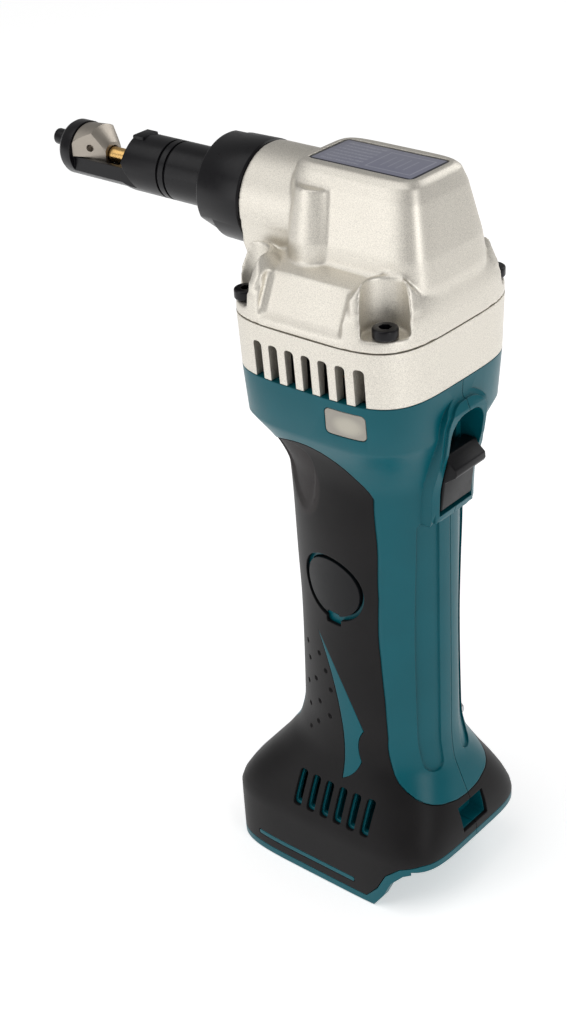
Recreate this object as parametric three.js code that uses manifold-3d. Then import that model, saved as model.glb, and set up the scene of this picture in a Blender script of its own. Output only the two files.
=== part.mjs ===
// Battery nibbler: a power tool that punches crescent-shaped bites out of sheet metal.
// Millimetres, +Z up. The nose points to -X, the slide switch is on the +X side.
// All shapes are drawn about the motor axis (x = 0, y = 0) and the battery rails' lower edges (z = 0);
// the whole tool is then moved along X so that its bounding box is centred on the origin.
import * as THREE from 'three';
import { mergeVertices } from 'three/addons/utils/BufferGeometryUtils.js';
import Module from 'manifold-3d';

const wasm = await Module();
wasm.setup();

// ---- driving dimensions ----
const NOSE_REACH = 151; // motor axis to the tip of the die bolt
const BACK_REACH = 45; // motor axis to the back of the foot
const GAP = 0.3; // clearance between neighbouring pieces
const RING_BOTTOM = 218.2; // top of the plastic housing
const SEAM = 239; // joint between vent ring and gear case
const TOP = 290.7; // flat top of the gear case
const NOSE_Z = 269.3; // height of the punch axis
const SKIN = 1.5; // thickness of the soft grip skin
const WALL = 3.6; // outside of the skin to the inside of the housing
const BAY_TOP = 21.3; // ceiling of the battery bay
const RAIL_BACK = 22.3; // rear tips of the battery rails
const BRUSH_Z = 132; // height of the brushes and their covers
const COVER_X = -2.6; // brush covers, from the motor axis
const SCREW_X = 30; // case screws, from the motor axis
const SCREW_Y = 31;
const POCKET_FLOOR = 243.3; // seats of the case screws
const COUNTER_X = -9.276; // countershaft axis
const COUNTER_Y = -14.007;
const CRANK_X = 5; // crank axis
const THROW = 2.5; // crank throw, half the stroke
const MODULE_1 = 0.8; // first gear stage
const MODULE_2 = 1; // second gear stage
const LEVER_BOTTOM = 169; // slide switch lever at OFF

// ---- materials ----
function finish(color, roughness, metalness = 0) {
  return new THREE.MeshStandardMaterial({ color, roughness, metalness });
}
const TEAL = finish(0x00606e, 0.32);
const RUBBER = finish(0x26262a, 0.7);
const CASTING = finish(0xb9b4a9, 0.42, 0.9);
const BLACK_STEEL = finish(0x17171b, 0.35, 0.8);
const STEEL = finish(0x9a9a9c, 0.3, 1);
const DIE_STEEL = finish(0x8f8a80, 0.35, 0.9);
const GOLD = finish(0xc8923c, 0.3, 1);
const COPPER = finish(0xb5672f, 0.35, 1);
const BRONZE = finish(0x9c7a45, 0.4, 1);
const BLACK_PLASTIC = finish(0x1b1b1d, 0.5);
const LENS = finish(0xb8b0a0, 0.35);
const LABEL = finish(0x53596b, 0.45);
const CARBON = finish(0x2a2a2a, 0.8);
const BOARD = finish(0x1f5a38, 0.6);

// ---- solids from three.js geometry ----
function solid(geometry) {
  geometry.deleteAttribute('normal');
  geometry.deleteAttribute('uv');
  const merged = mergeVertices(geometry, 1e-4);
  const at = merged.attributes.position;
  const corner = [new THREE.Vector3(), new THREE.Vector3(), new THREE.Vector3()];
  const triangles = [];
  let volume = 0;
  for (let i = 0; i < merged.index.count; i += 3) {
    const [a, b, c] = [0, 1, 2].map((k) => merged.index.getX(i + k));
    if (a === b || b === c || a === c) continue;
    [a, b, c].forEach((v, k) => corner[k].fromBufferAttribute(at, v));
    volume += corner[0].dot(corner[1].clone().cross(corner[2]));
    triangles.push(a, b, c);
  }
  if (volume < 0) triangles.reverse();
  const triVerts = new Uint32Array(triangles);
  const vertProperties = new Float32Array(at.array);
  return new wasm.Manifold(new wasm.Mesh({ numProp: 3, vertProperties, triVerts }));
}

function joined(list) {
  return list.reduce((sum, next) => sum.add(next));
}

function box(x0, x1, y0, y1, z0, z1) {
  const geometry = new THREE.BoxGeometry(x1 - x0, y1 - y0, z1 - z0);
  return solid(geometry.translate((x0 + x1) / 2, (y0 + y1) / 2, (z0 + z1) / 2));
}

function rodZ(r, z0, z1, x = 0, y = 0, around = 24, topR = r) {
  const geometry = new THREE.CylinderGeometry(topR, r, z1 - z0, around).rotateX(Math.PI / 2);
  return solid(geometry.translate(x, y, (z0 + z1) / 2));
}

function rodX(r, x0, x1, y = 0, z = NOSE_Z, around = 24) {
  const geometry = new THREE.CylinderGeometry(r, r, x1 - x0, around).rotateZ(Math.PI / 2);
  return solid(geometry.translate((x0 + x1) / 2, y, z));
}

function rodY(r, y0, y1, x, z, around = 24) {
  return solid(new THREE.CylinderGeometry(r, r, y1 - y0, around).translate(x, (y0 + y1) / 2, z));
}

// A ring about a vertical axis.
function ringZ(inner, outer, z0, z1, x = 0, y = 0, around = 24) {
  return rodZ(outer, z0, z1, x, y, around).subtract(rodZ(inner, z0 - 1, z1 + 1, x, y, around));
}

// A solid of revolution about the punch axis, from [x, radius] points that start and end on it.
function turned(points, around = 28) {
  const profile = points.map(([x, r]) => new THREE.Vector2(r, x));
  const geometry = new THREE.LatheGeometry(profile, around).rotateZ(-Math.PI / 2);
  return solid(geometry.translate(0, 0, NOSE_Z));
}

function outline(points) {
  return new THREE.Shape(points.map(([u, v]) => new THREE.Vector2(u, v)));
}

function extruded(shape, depth) {
  return new THREE.ExtrudeGeometry(shape, { depth, bevelEnabled: false, curveSegments: 3 });
}

// Prisms from an outline seen from the side (x, z), from behind (y, z) or from above (x, y).
function prismY(shape, y0, y1) {
  return solid(extruded(shape, y1 - y0).rotateX(Math.PI / 2).translate(0, y1, 0));
}

function prismX(shape, x0, x1) {
  return solid(extruded(shape, x1 - x0).rotateX(Math.PI / 2).rotateZ(Math.PI / 2).translate(x0, 0, 0));
}

function prismZ(shape, z0, z1) {
  return solid(extruded(shape, z1 - z0).translate(0, 0, z0));
}

function roundedRect(u0, u1, v0, v1, r, steps = 3) {
  const points = [];
  const corners = [[u1 - r, v0 + r], [u1 - r, v1 - r], [u0 + r, v1 - r], [u0 + r, v0 + r]];
  corners.forEach(([u, v], quarter) => {
    for (let i = 0; i <= steps; i++) {
      const angle = (quarter - 1 + i / steps) * (Math.PI / 2);
      points.push([u + r * Math.cos(angle), v + r * Math.sin(angle)]);
    }
  });
  return outline(points);
}

// A tower of superellipse sections: each level is [z, front x, back x, half width, squareness].
function tower(levels, inset = 0, around = 24) {
  const geometry = new THREE.CylinderGeometry(1, 1, 1, around, levels.length - 1).rotateX(Math.PI / 2);
  const at = geometry.attributes.position;
  for (let i = 0; i < at.count; i++) {
    const level = Math.round((at.getZ(i) + 0.5) * (levels.length - 1));
    const [z, front, back, side, squareness] = levels[level];
    const power = 2 / squareness;
    const angle = Math.atan2(at.getY(i), at.getX(i));
    const spread = Math.hypot(at.getX(i), at.getY(i)) > 0.5 ? 1 : 0;
    const [c, s] = [Math.cos(angle), Math.sin(angle)].map((v) => (Math.abs(v) < 1e-6 ? 0 : v));
    const dx = spread * Math.sign(c) * Math.abs(c) ** power * ((back - front) / 2 - inset);
    const dy = spread * Math.sign(s) * Math.abs(s) ** power * (side - inset);
    at.setXYZ(i, (front + back) / 2 + dx, dy, z);
  }
  return solid(geometry);
}

// ---- the tool as a scene graph ----
const tool = new THREE.Group();
tool.position.x = (NOSE_REACH - BACK_REACH) / 2;

function part(name, shape, material) {
  const { vertProperties, triVerts } = shape.getMesh();
  const geometry = new THREE.BufferGeometry();
  geometry.setAttribute('position', new THREE.BufferAttribute(vertProperties, 3));
  geometry.setIndex(new THREE.BufferAttribute(triVerts, 1));
  geometry.computeVertexNormals();
  const mesh = new THREE.Mesh(geometry, material);
  mesh.name = name;
  tool.add(mesh);
}

// ---- housing: outer form of foot, grip and collar ----
const BODY = [
  [0, -53.8, BACK_REACH, 37.5, 5.2],
  [25, -54.2, BACK_REACH, 37.4, 5.2],
  [31, -51.8, 44.2, 36.2, 4.6],
  [39, -45.8, 41.6, 33, 3.8],
  [47, -39.6, 38.2, 29.4, 3],
  [57, -34.4, 34.4, 26.6, 2.3],
  [69, -32.8, 33.4, 25.4, 2.05],
  [110, -32.6, 33.4, 24.7, 2],
  [136, -32.8, 33.4, 26, 2],
  [156, -32.4, 33.4, 27.8, 2],
  [176, -32.4, 33.6, 28.6, 2.1],
  [188, -34.2, 35, 31.4, 2.7],
  [200.5, -38.4, 38.2, 37.3, 3.9],
  [RING_BOTTOM, -39.1, 39.1, 38.2, 4.13],
];
const body = tower(BODY);

// Seen from the side: everything above the rails' lower edge and the ramp behind them.
function aboveRamp(lift) {
  const p = [[-70, lift], [RAIL_BACK - 3.6 * (lift > 0), lift], [26.5 - lift * 0.9, 6 + lift]];
  p.push([30 - lift * 0.8, 13.6 + lift], [35 - lift * 0.5, 18.8 + lift], [41, BAY_TOP + lift]);
  p.push([70, BAY_TOP + lift], [70, 230], [-70, 230]);
  return prismY(outline(p), -60, 60);
}

// Half outline of the housing's bare tongue down the back of the grip: half width and height.
const TONGUE = [[0, 40.4], [10.7, 41.8], [18.4, 43.8], [22.1, 46.7], [22.9, 53.3], [21.2, 69], [21.5, 105]];
TONGUE.push([22.2, 132], [23.6, 158], [24.8, 177], [26, 200], [26, 260]);

// The soft skin covers both flanks of the grip and the foot; grow widens the pocket it lies in.
function skinRegion(grow) {
  const top = new THREE.Shape().moveTo(-70, 0).lineTo(-70, 191.5 + grow).lineTo(-20, 191.5 + grow);
  top.quadraticCurveTo(-2, 200 + grow, 10.8, 188 + grow).lineTo(18.5, 174.5 + grow).lineTo(70, 150 + grow).lineTo(70, 0);
  const halfTongue = TONGUE.map(([half, z]) => [half - grow * Math.sign(half), z + grow]);
  const tongueBack = outline([...halfTongue, ...halfTongue.slice(1).reverse().map(([half, z]) => [-half, z])]);
  const tongueFront = roundedRect(-14.5 + grow, 14.5 - grow, 48 + grow, 260, 11);
  const swoosh = new THREE.Shape().moveTo(-12 + grow, 109 - 2 * grow);
  swoosh.quadraticCurveTo(-1, 95, 9.8 - grow, 70.6).quadraticCurveTo(5.6 - grow, 64.5, 9.6 - grow, 57.1);
  swoosh.quadraticCurveTo(8, 51, 1.9 + grow, 47.8 + grow).quadraticCurveTo(1 + grow, 84, -12 + grow, 109 - 2 * grow);
  const strip = roundedRect(-37 + grow, 13 - grow, 6.6 + grow, 9 - grow, 0.6);
  return prismY(top, -60, 60).intersect(aboveRamp(3.1 - grow))
    .subtract(prismX(tongueBack, 0, 70)).subtract(prismX(tongueFront, -70, 0))
    .subtract(prismY(swoosh, -60, 60)).subtract(prismY(strip, -60, 60));
}

const INTAKE = [0, 1, 2, 3, 4, 5].map((i) => -16 + 6.6 * i);
function intakeSlots(half) {
  return joined(INTAKE.map((x) => box(x - half, x + half, -60, 60, 32.6 - half, 42.6 + half)));
}

// Rear switch guard: an arched frame round the lever, sloping down to the grip.
function arch(half, bottom, top) {
  const r = half * 0.8;
  const points = [[-half, bottom], [half, bottom]];
  for (let i = 0; i <= 8; i++) {
    const angle = (i / 8) * Math.PI;
    points.push([(half - r) * Math.sign(4 - i) + r * Math.cos(angle), top - r + r * Math.sin(angle)]);
  }
  return outline(points);
}
const guardSide = prismY(outline([[28, 160], [33.8, 160], [36.4, 169], [41, 200], [42, 208], [39, 215], [28, 215]]),
  -20, 20);
const guard = prismX(arch(13, 163, 213.2), 20, 50).intersect(guardSide).intersect(tower(BODY, -4));
const leverRecess = prismX(arch(9.8, 167.4, 207), 31, 60);
const sliderSlot = box(20, 40, -7.3, 7.3, 171, 196);

const HOUSING_SCREWS = [[-25.5, 172, 13], [-25.5, 100, 11], [24, 64, 15]]; // x, z and seat of the head
const LATCH = [8, 27.6, 38]; // half width, bottom and top of the latch pocket

const cavity = tower(BODY, WALL).intersect(box(-60, 60, -50, 50, 24, 230)); // from foot floor to vent ring
const bayCut = box(-46, 60, -33.4, 33.4, -1, BAY_TOP);
const lensHoles = prismY(roundedRect(8.4 - GAP, 24.6 + GAP, 205.2 - GAP, 214.8 + GAP, 2), -60, 60);

function housing() {
  const shell = body.subtract(skinRegion(GAP)).add(tower(BODY, SKIN + GAP)).add(guard);
  const seat = box(-12, 12, -30, 30, 117, 123).subtract(rodZ(8.3, 110, 130));
  const shelf = box(-40, 40, -40, 40, 143.6, 146.7).subtract(rodZ(17, 140, 150))
    .subtract(box(21, 40, -6, 6, 140, 150));
  const bosses = HOUSING_SCREWS.map(([x, z]) => rodY(4.4, -40, 40, x, z, 10));
  const latchWalls = box(33.5, 50, -10, 10, 24, 40.2);
  const liner = prismX(arch(12.2, 165, 210), 28.5, 50);
  const inner = joined([seat, shelf, latchWalls, liner, ...bosses]).intersect(tower(BODY, 2.4).add(guard));
  const rails = [-1, 1].map((s) => box(-40, 19, s > 0 ? 30.6 : -33.6, s > 0 ? 33.6 : -30.6, 3.4, 7.4));
  let whole = shell.subtract(cavity).add(inner).subtract(bayCut).add(joined(rails));
  whole = whole.intersect(aboveRamp(0)).subtract(leverRecess).subtract(sliderSlot).subtract(lensHoles);
  whole = whole.subtract(intakeSlots(1.2)).subtract(box(36, 60, -LATCH[0], LATCH[0], LATCH[1], LATCH[2]));
  whole = whole.subtract(rodY(12.9, -60, -10, COVER_X, BRUSH_Z, 20)).subtract(rodY(12.9, 10, 60, COVER_X, BRUSH_Z, 20));
  return whole;
}

function screwHoles() {
  return joined(HOUSING_SCREWS.map(([x, z, seat]) => rodY(1.9, -7, 40, x, z, 8).add(rodY(3.4, seat, 60, x, z, 12))));
}

const leftHalf = box(-80, 80, -60, -GAP / 2, -5, 260);
const rightHalf = box(-80, 80, GAP / 2, 60, -5, 260);
const housingWhole = housing().subtract(screwHoles());
part('housing_left', housingWhole.intersect(leftHalf), TEAL);
part('housing_right', housingWhole.intersect(rightHalf), TEAL);

const skin = body.intersect(skinRegion(0)).subtract(tower(BODY, SKIN)).subtract(intakeSlots(2))
  .subtract(rodY(14.4, -60, 60, COVER_X, BRUSH_Z, 24)).subtract(screwHoles())
  .subtract(box(34, 60, -LATCH[0], LATCH[0], LATCH[1], LATCH[2]));
part('grip_skin_left', skin.intersect(leftHalf), RUBBER);
part('grip_skin_right', skin.intersect(rightHalf), RUBBER);

HOUSING_SCREWS.forEach(([x, z, seat], i) => {
  const screw = rodY(1.5, -6.5, seat + 0.5, x, z, 8).add(rodY(2.9, seat + GAP, seat + 2.8, x, z, 12));
  part(`housing_screw_${i + 1}`, screw, STEEL);
});

// ---- vent ring ----
const ringLevels = [[RING_BOTTOM + GAP, -39.1, 39.1, 38.2, 4.13], [SEAM - GAP / 2, -39.3, 39.3, 39.5, 4.13]];
const ringHollow = [[RING_BOTTOM - 1, -36, 36, 35.6, 2.6], [SEAM + 1, -36, 36, 35.6, 2.6]];
const VENTS = [0, 1, 2, 3, 4, 5, 6].map((i) => -20 + 7.25 * i);
const ventSlots = VENTS.map((x) => box(x - 2, x + 2, -60, 60, 210, 232.5));
const SCREWS = [[-1, -1], [1, -1], [1, 1], [-1, 1]].map(([i, j]) => [i * SCREW_X, j * SCREW_Y]);
const screwBores = joined(SCREWS.map(([x, y]) => rodZ(2.4, 224, 250, x, y, 8)));
part('vent_ring', tower(ringLevels).subtract(tower(ringHollow)).subtract(joined(ventSlots)).subtract(screwBores),
  CASTING);

// ---- gear case casting ----
const SKIRT = [
  [SEAM + GAP / 2, -39.3, 39.3, 39.5, 4.13],
  [247, -39, 39, 39.1, 4.1],
  [252, -38, 38.4, 37.2, 3.8],
  [256.5, -34, 37.6, 31.5, 3.2],
  [259, -28, 36.4, 24, 2.8],
];
const DOME = [
  [244, -24, 38.6, 24, 5],
  [257, -23, 38, 22.8, 5.5],
  [266, -22.6, 36.6, 21.9, 5.8],
  [284, -22, 32.6, 18.2, 6],
  [289, -20.8, 30.8, 16.4, 6],
  [TOP, -19, 29, 14.4, 6],
];
const DOME_HOLLOW = [
  [249, -16, 32.4, 18.6, 5],
  [266, -16, 31.2, 17.8, 5],
  [286, -16, 26.6, 14, 5],
];
const CORNER = [[SEAM + GAP / 2, -39.2, 39.2, 39.4, 4.13], [252, -38.6, 38.4, 38.4, 4], [264, -35, 35, 34, 3.6]];

function gearCase() {
  const mounds = SCREWS.map(([x, y]) => {
    const [cx, cy] = [x - 2 * Math.sign(x), y - 2.4 * Math.sign(y)];
    return rodZ(11.6, SEAM + 1, 256, cx, cy, 16).add(rodZ(11.6, 256, 261.6, cx, cy, 16, 7));
  });
  const boss = rodZ(11.6, 250, 266, COUNTER_X, COUNTER_Y, 20).add(rodZ(11.6, 266, 284, COUNTER_X, COUNTER_Y, 20, 8.4));
  const sleeve = rodX(19, -42.6, 0, 0, NOSE_Z, 24).add(rodX(15.7, -54.1, -40, 0, NOSE_Z, 20));
  const neck = prismY(outline([[-42.2, 268], [-42, 257], [-37, 245], [0, 245], [0, 268]]), -18.4, 18.4);
  let whole = joined([tower(SKIRT), joined(mounds).intersect(tower(CORNER)), tower(DOME), boss, sleeve, neck]);
  whole = whole.subtract(rodZ(31.5, 230, 249.3, 0, 0, 28)).subtract(tower(DOME_HOLLOW));
  whole = whole.subtract(rodZ(8, 248, 257.2, COUNTER_X, COUNTER_Y)).subtract(rodX(14, -60, -10));
  whole = whole.add(rodZ(8, 257.2, 261.5, COUNTER_X, COUNTER_Y)).add(ringZ(8.3, 10.6, 279.6, 287, CRANK_X));
  whole = whole.subtract(rodZ(5.8, 250, 261.3, COUNTER_X, COUNTER_Y)).subtract(screwBores);
  whole = whole.subtract(joined(SCREWS.map(([x, y]) => rodZ(8.2, POCKET_FLOOR, 280, x, y, 20))));
  for (const s of [-1, 1]) {
    const slope = outline([[s * 50, 243], [s * 37.6, 243], [s * 36.9, 244], [s * 31, 256.4], [s * 50, 262]]);
    whole = whole.subtract(prismX(slope, -17, 16));
  }
  return whole.subtract(prismZ(roundedRect(-17, 27, -11.4, 11.4, 2.4), TOP - 0.9, TOP + 2));
}
part('gear_case', gearCase(), CASTING);
part('name_plate', prismZ(roundedRect(-16.6, 26.6, -11, 11, 2), TOP - 0.6, TOP - 0.15), LABEL);

SCREWS.forEach(([x, y], i) => {
  const head = rodZ(4.5, POCKET_FLOOR + GAP, POCKET_FLOOR + 4, x, y, 12);
  const socket = rodZ(2.3, POCKET_FLOOR + 2, POCKET_FLOOR + 6, x, y, 6);
  part(`case_screw_${i + 1}`, head.subtract(socket).add(rodZ(1.9, 225, POCKET_FLOOR + 1, x, y, 8)), BLACK_STEEL);
});

// ---- lenses and brush covers ----
const lensShape = prismY(roundedRect(8.4, 24.6, 205.2, 214.8, 1.8), -60, 60)
  .intersect(tower(BODY, 0.15)).subtract(tower(BODY, 2.3));
part('indicator_lens_left', lensShape.intersect(leftHalf), LENS);
part('indicator_lens_right', lensShape.intersect(rightHalf), LENS);

const coverShape = tower(BODY, 0.2).intersect(rodY(12.5, -60, 60, COVER_X, BRUSH_Z, 20))
  .subtract(box(-20, 20, -21.8, 21.8, 110, 160));
part('brush_cover_left', coverShape.intersect(leftHalf), BLACK_PLASTIC);
part('brush_cover_right', coverShape.intersect(rightHalf), BLACK_PLASTIC);

// ---- brushes, their holders and springs ----
function coil(s) {
  class Helix extends THREE.Curve {
    getPoint(t, target = new THREE.Vector3()) {
      const angle = t * 4 * 2 * Math.PI;
      return target.set(1.9 * Math.cos(angle), s * (16.6 + 3.6 * t), BRUSH_Z + 1.9 * Math.sin(angle));
    }
  }
  const wire = new THREE.Shape().absarc(0, 0, 0.3, 0, 2 * Math.PI);
  return solid(new THREE.ExtrudeGeometry(wire, { extrudePath: new Helix(), steps: 24, curveSegments: 2, bevelEnabled: false }));
}
for (const [side, s] of [['left', -1], ['right', 1]]) {
  const span = (near, far) => (s > 0 ? [near, far] : [-far, -near]);
  const tube = box(-5, 5, ...span(11, 21.2), BRUSH_Z - 4.5, BRUSH_Z + 4.5);
  const slot = box(-3.8, 3.8, ...span(5, 20.9), BRUSH_Z - 3.1, BRUSH_Z + 3.1);
  part(`brush_holder_${side}`, tube.subtract(slot), BRONZE);
  part(`carbon_brush_${side}`, box(-3.5, 3.5, ...span(9.4, 16), BRUSH_Z - 2.8, BRUSH_Z + 2.8), CARBON);
  part(`brush_spring_${side}`, coil(s), STEEL);
}

// ---- motor ----
part('motor_can', ringZ(17.8, 20.2, 147, 206, 0, 0, 28), STEEL);
part('motor_bearing_low', ringZ(2.9, 8, 117.4, 122.6, 0, 0, 20), STEEL);
part('motor_bearing_high', ringZ(2.9, 7.5, 233, 237.6, 0, 0, 20), STEEL);
const baffle = tower([[213, -34.9, 34.9, 34, 4], [214.6, -34.9, 34.9, 34, 4]]);
part('fan_baffle', baffle.subtract(rodZ(16, 200, 230)), BLACK_PLASTIC);
const plateLevels = [[232.8, -35.7, 35.7, 35.3, 2.6], [238, -35.7, 35.7, 35.3, 2.6]];
const plateBores = [rodZ(7.8, 230, 240), rodZ(5.3, 230, 240, COUNTER_X, COUNTER_Y)];
part('bearing_plate', tower(plateLevels).subtract(joined(plateBores)), CASTING);

// A spur gear outline: involute flanks from tooth count, module, addendum and dedendum.
function gearShape(teeth, module, addendum, dedendum, phase) {
  const pitch = (module * teeth) / 2;
  const base = pitch * Math.cos(Math.PI / 9);
  const involute = (r) => Math.sqrt(Math.max(0, (r / base) ** 2 - 1)) - Math.acos(Math.min(1, base / r));
  const halfAtPitch = Math.PI / (2 * teeth) - (0.12 * module) / pitch;
  const half = (r) => halfAtPitch + involute(pitch) - involute(Math.max(r, base));
  const radii = [pitch - dedendum, pitch - 0.2 * module, pitch + addendum];
  const points = [];
  for (let i = 0; i < teeth; i++) {
    const middle = phase + (2 * Math.PI * i) / teeth;
    for (const r of radii) points.push([r, middle - half(r)]);
    for (const r of [...radii].reverse()) points.push([r, middle + half(r)]);
  }
  return outline(points.map(([r, a]) => [r * Math.cos(a), r * Math.sin(a)]));
}

function gear(teeth, module, addendum, dedendum, phase, x, y, z0, z1) {
  const shape = gearShape(teeth, module, addendum, dedendum, phase);
  return solid(extruded(shape, z1 - z0).translate(x, y, z0));
}

const toCounter = Math.atan2(COUNTER_Y, COUNTER_X); // direction from the motor axis to the countershaft
const toCrank = Math.atan2(-COUNTER_Y, CRANK_X - COUNTER_X); // from the countershaft to the crank
const motorPinion = gear(10, MODULE_1, 0.64, 0.8, toCounter, 0, 0, 238.4, 243.2);
part('armature_shaft', rodZ(2.6, 116, 239, 0, 0, 16).add(motorPinion), STEEL);
const core = rodZ(15.5, 152, 200, 0, 0, 36);
const coreSlots = [0, 1, 2, 3, 4, 5, 6, 7].map((i) => {
  const slot = new THREE.BoxGeometry(5, 1.6, 60).translate(14.2, 0, 176).rotateZ((i * Math.PI) / 4);
  return solid(slot);
});
part('armature_core', core.subtract(joined(coreSlots)).subtract(rodZ(2.9, 140, 210, 0, 0, 16)), STEEL);
const windingBars = [0, 1, 2, 3, 4, 5, 6, 7].map((i) => {
  return solid(new THREE.BoxGeometry(1.4, 1, 50).translate(12.8, 0, 176).rotateZ((i * Math.PI) / 4));
});
const windingHeads = [ringZ(6, 13.6, 146.8, 151.7, 0, 0, 16), ringZ(6, 13.6, 200.3, 205.6, 0, 0, 16)];
part('armature_winding', joined([...windingHeads, ...windingBars]), COPPER);
part('commutator', ringZ(2.9, 9, 127, 145, 0, 0, 20), COPPER);
const blades = Array.from({ length: 12 }, (_, i) => {
  const blade = new THREE.BoxGeometry(22, 1.4, 9.4).translate(16.6, 0, 224.8).rotateZ((i * Math.PI) / 6);
  return solid(blade);
});
const fan = joined([rodZ(7, 216.5, 230, 0, 0, 20), rodZ(28.6, 229, 230.6, 0, 0, 36), ...blades]);
part('cooling_fan', fan.subtract(rodZ(2.9, 210, 240, 0, 0, 16)), BLACK_PLASTIC);

// ---- countershaft ----
const counterPinion = gear(10, MODULE_2, 0.8, 1, toCrank, COUNTER_X, COUNTER_Y, 249.8, 256.8);
part('countershaft', rodZ(2.9, 232.9, 261, COUNTER_X, COUNTER_Y, 16).add(counterPinion), STEEL);
const wheelPhase = toCounter + Math.PI + Math.PI / 32;
const wheel = gear(32, MODULE_1, 0.48, 0.84, wheelPhase, COUNTER_X, COUNTER_Y, 238.7, 243);
part('countershaft_gear', wheel.subtract(rodZ(3.2, 230, 250, COUNTER_X, COUNTER_Y, 16)), STEEL);
part('countershaft_bearing_low', ringZ(3.2, 5, 233, 237.6, COUNTER_X, COUNTER_Y, 18), BRONZE);
part('countershaft_bearing_high', ringZ(3.2, 5.5, 257.5, 261, COUNTER_X, COUNTER_Y, 18), BRONZE);
const gearPlate = rodZ(30.9, 243.7, 249, 0, 0, 28).subtract(rodZ(8.3, 240, 250, CRANK_X));
part('gear_plate', gearPlate.subtract(rodZ(4, 240, 250, COUNTER_X, COUNTER_Y)), CASTING);

// ---- crank ----
const crankPin = rodZ(3.4, 260, 277.5, CRANK_X - THROW, 0, 18);
const crankWebs = rodZ(9, 256.5, 260.5, CRANK_X).add(rodZ(7, 277, 279, CRANK_X));
const journals = rodZ(5, 244, 256.6, CRANK_X, 0, 20).add(rodZ(5, 278.9, 285.6, CRANK_X, 0, 20));
part('crank_shaft', joined([journals, crankWebs, crankPin]), STEEL);
const crankWheel = gear(30, MODULE_2, 0.6, 1.05, toCrank + Math.PI + Math.PI / 30, CRANK_X, 0, 250.2, 256.2);
part('crank_gear', crankWheel.subtract(rodZ(5.3, 240, 260, CRANK_X, 0, 20)), STEEL);
part('crank_roller', ringZ(3.7, 6, 262.8, 275.2, CRANK_X - THROW, 0, 20), STEEL);
part('crank_bearing_low', ringZ(5.3, 8, 244.1, 248.9, CRANK_X, 0, 20), STEEL);
part('crank_bearing_high', ringZ(5.3, 8, 280, 285, CRANK_X, 0, 20), STEEL);

// ---- ram: a yoke round the crank roller, with clearance for both joints ----
const STROKE = 2 * THROW;
const ROLLER_REACH = 6 + GAP;
const windowFront = CRANK_X - THROW - STROKE - ROLLER_REACH;
const windowBack = CRANK_X + THROW + ROLLER_REACH;
const yoke = box(windowFront - 4.4, windowBack + 4.4, -12, 12, 262, 276)
  .subtract(box(windowFront, windowBack, -THROW - ROLLER_REACH, THROW + ROLLER_REACH, 250, 290));
const ramNose = rodX(9, -24, windowFront - 4).subtract(rodX(5.4, -30, -17));
part('ram', yoke.add(ramNose), STEEL);
part('ram_guide', rodX(13.7, -28, -17.8).subtract(rodX(9.4, -30, -10)), BRONZE);
const sealProfile = new THREE.TorusGeometry(12.4, 1.1, 6, 20).rotateY(Math.PI / 2).translate(-32, 0, NOSE_Z);
part('seal_ring', solid(sealProfile), RUBBER);
part('holder_bush', rodX(13.7, -53.7, -35).subtract(rodX(11.5, -60, -30)), BRONZE);

// ---- punch, die holder, die and lock nut ----
part('punch', turned([[-17.4, 0], [-17.4, 5], [-107, 5], [-110, 3], [-122.6, 3], [-122.6, 0]], 20), GOLD);

const HOLDER_R = 11;
const TIP_R = 10.4; // radius of the holder round the die
const BOLT_Z = NOSE_Z + 2; // the die bolt sits above the punch axis
const WALL_TOP = 268.4; // top of the holder's low walls beside the die
const TROUGH = 6.4; // half width of the trough that the die's foot sits in
function dieHolder() {
  const profile = [[-36, 0], [-36, HOLDER_R], [-54.4, HOLDER_R], [-54.4, 15.4], [-57.6, 15.4], [-57.6, HOLDER_R]];
  for (const groove of [-85.6, -89.1]) {
    profile.push([groove + 0.5, HOLDER_R], [groove + 0.3, 10.3], [groove - 0.3, 10.3], [groove - 0.5, HOLDER_R]);
  }
  profile.push([-106, HOLDER_R], [-110, TIP_R], [-139.8, TIP_R], [-141.5, 8.8], [-141.5, 0]);
  const tab = box(-107.8, -101, -4.2, 4.2, 276, 280.6);
  const mouth = rodY(20, -20, 20, -126.1, 279, 40).add(box(-135, -113, -20, 20, WALL_TOP, 300))
    .intersect(box(-135, -90, -30, 30, WALL_TOP, 300));
  const trough = box(-135, -113, -TROUGH, TROUGH, 263.2, 270);
  const relief = [[-135, 250], [-102, 250], [-102, 261.5], [-110.4, 277], [-110.4, 290], [-135, 290]];
  const sides = [-1, 1].map((s) => prismY(outline(relief), s > 0 ? 8.2 : -20, s > 0 ? 20 : -8.2));
  return turned(profile, 24).add(tab).subtract(mouth).subtract(trough).subtract(joined(sides))
    .subtract(rodX(5.4, -114, -20)).subtract(rodX(2.3, -150, -130, 0, BOLT_Z, 12));
}
part('die_holder', dieHolder(), BLACK_STEEL);

function die() {
  const blank = turned([[-134.7, 0], [-134.7, 10], [-126.6, 10.6], [-121.6, 4.6], [-121.6, 0]], 20);
  const above = box(-140, -120, -20, 20, WALL_TOP + GAP, 300)
    .add(box(-140, -120, GAP - TROUGH, TROUGH - GAP, 263.5, 300));
  const facet = (s) => prismZ(outline([[-136, s * 9.4], [-120, s * 3.6], [-120, s * 20], [-136, s * 20]]), 250, 290);
  return blank.intersect(above).subtract(facet(-1)).subtract(facet(1)).subtract(rodX(3.4, -126, -120, 0, NOSE_Z, 16))
    .subtract(rodX(2.3, -140, -129.4, 0, BOLT_Z, 12));
}
part('die', die(), DIE_STEEL);
const boltHead = rodX(3.1, -NOSE_REACH, -141.8, 0, BOLT_Z, 16);
part('die_bolt', boltHead.add(rodX(1.9, -142, -130, 0, BOLT_Z, 10)), BLACK_STEEL);

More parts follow.
